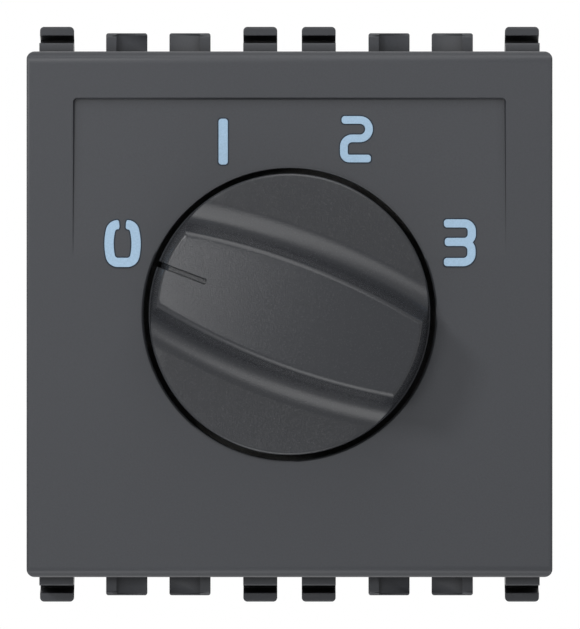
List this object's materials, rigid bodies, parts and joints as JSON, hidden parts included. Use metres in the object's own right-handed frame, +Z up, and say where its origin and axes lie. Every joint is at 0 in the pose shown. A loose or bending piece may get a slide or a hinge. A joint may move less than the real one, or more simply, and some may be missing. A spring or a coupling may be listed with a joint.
{
  "type": "fan speed control switch",
  "caption": "Flush wall insert with a round knob and grip bar that turns a rotary contact switch through an off place and three fan speeds, with clamp terminals behind.",
  "frame": {"origin": "on the knob's axis, in the plane where the rear rim of the cover and its tabs bear on the mounting frame", "axes": "+X right seen from the room, +Y into the wall, +Z up"},
  "size_m": [0.0448, 0.0462, 0.0492],
  "materials": {
    "cover_plastic": "fine moulded grain, satin",
    "knob_plastic": "fine moulded grain, satin",
    "housing_plastic": "smooth moulded, satin",
    "lid_plastic": "smooth moulded",
    "wheel_plastic": "smooth, self-lubricating",
    "rotor_plastic": "smooth thermoset",
    "base_plastic": "laminate, matt",
    "spindle_metal": "turned, satin",
    "contact_brass": "pressed strip",
    "contact_silver": "silver, bright",
    "spring_steel": "spring steel, bright",
    "clamp_steel": "zinc plated, passivated",
    "screw_steel": "zinc plated"
  },
  "bodies": {
    "insert": {"front_cover": "cover_plastic", "mechanism_lid": "lid_plastic", "detent_spring": "spring_steel", "lid_screws": "screw_steel", "contact_base": "base_plastic", "common_contact": "contact_brass", "contact_rivets": "contact_silver", "rear_housing": "housing_plastic", "speed_1_contact": "contact_brass", "speed_2_contact": "contact_brass", "speed_3_contact": "contact_brass"},
    "knob_set": {"knob": "knob_plastic", "knob_clip": "spring_steel", "spindle": "spindle_metal", "detent_wheel": "wheel_plastic", "contact_rotor": "rotor_plastic", "bridge_contact": "contact_brass", "bridge_spring": "spring_steel"},
    "common_screw": {"common_terminal_screw": "screw_steel"},
    "common_cage": {"common_terminal_cage": "clamp_steel"},
    "speed_1_screw": {"speed_1_terminal_screw": "screw_steel"},
    "speed_1_cage": {"speed_1_terminal_cage": "clamp_steel"},
    "speed_2_screw": {"speed_2_terminal_screw": "screw_steel"},
    "speed_2_cage": {"speed_2_terminal_cage": "clamp_steel"},
    "speed_3_screw": {"speed_3_terminal_screw": "screw_steel"},
    "speed_3_cage": {"speed_3_terminal_cage": "clamp_steel"}
  },
  "joints": [
    {"name": "knob_turn", "type": "hinge", "parent": "insert", "child": "knob_set", "pos_m": [0, 0, 0], "axis": [0, 1, 0], "range_deg": [0, 135], "deforming": ["detent_spring"]},
    {"name": "common_screw_turn", "type": "hinge", "parent": "insert", "child": "common_screw", "pos_m": [0.013, 0.03006, -0.0138], "axis": [0, -1, 0], "range_deg": [0, 1440]},
    {"name": "common_cage_lift", "type": "slide", "parent": "insert", "child": "common_cage", "axis": [0, 1, 0], "range_m": [0, 0.0024]},
    {"name": "speed_1_screw_turn", "type": "hinge", "parent": "insert", "child": "speed_1_screw", "pos_m": [-0.013, 0.03006, -0.0138], "axis": [0, -1, 0], "range_deg": [0, 1440]},
    {"name": "speed_1_cage_lift", "type": "slide", "parent": "insert", "child": "speed_1_cage", "axis": [0, 1, 0], "range_m": [0, 0.0024]},
    {"name": "speed_2_screw_turn", "type": "hinge", "parent": "insert", "child": "speed_2_screw", "pos_m": [-0.013, 0.03006, 0.0138], "axis": [0, -1, 0], "range_deg": [0, 1440]},
    {"name": "speed_2_cage_lift", "type": "slide", "parent": "insert", "child": "speed_2_cage", "axis": [0, 1, 0], "range_m": [0, 0.0024]},
    {"name": "speed_3_screw_turn", "type": "hinge", "parent": "insert", "child": "speed_3_screw", "pos_m": [0.013, 0.03006, 0.0138], "axis": [0, -1, 0], "range_deg": [0, 1440]},
    {"name": "speed_3_cage_lift", "type": "slide", "parent": "insert", "child": "speed_3_cage", "axis": [0, 1, 0], "range_m": [0, 0.0024]}
  ],
  "couplings": [
    {"joint": "common_screw_turn", "follows": "common_cage_lift", "rad_per_m": 10472},
    {"joint": "speed_1_screw_turn", "follows": "speed_1_cage_lift", "rad_per_m": 10472},
    {"joint": "speed_2_screw_turn", "follows": "speed_2_cage_lift", "rad_per_m": 10472},
    {"joint": "speed_3_screw_turn", "follows": "speed_3_cage_lift", "rad_per_m": 10472}
  ]
}
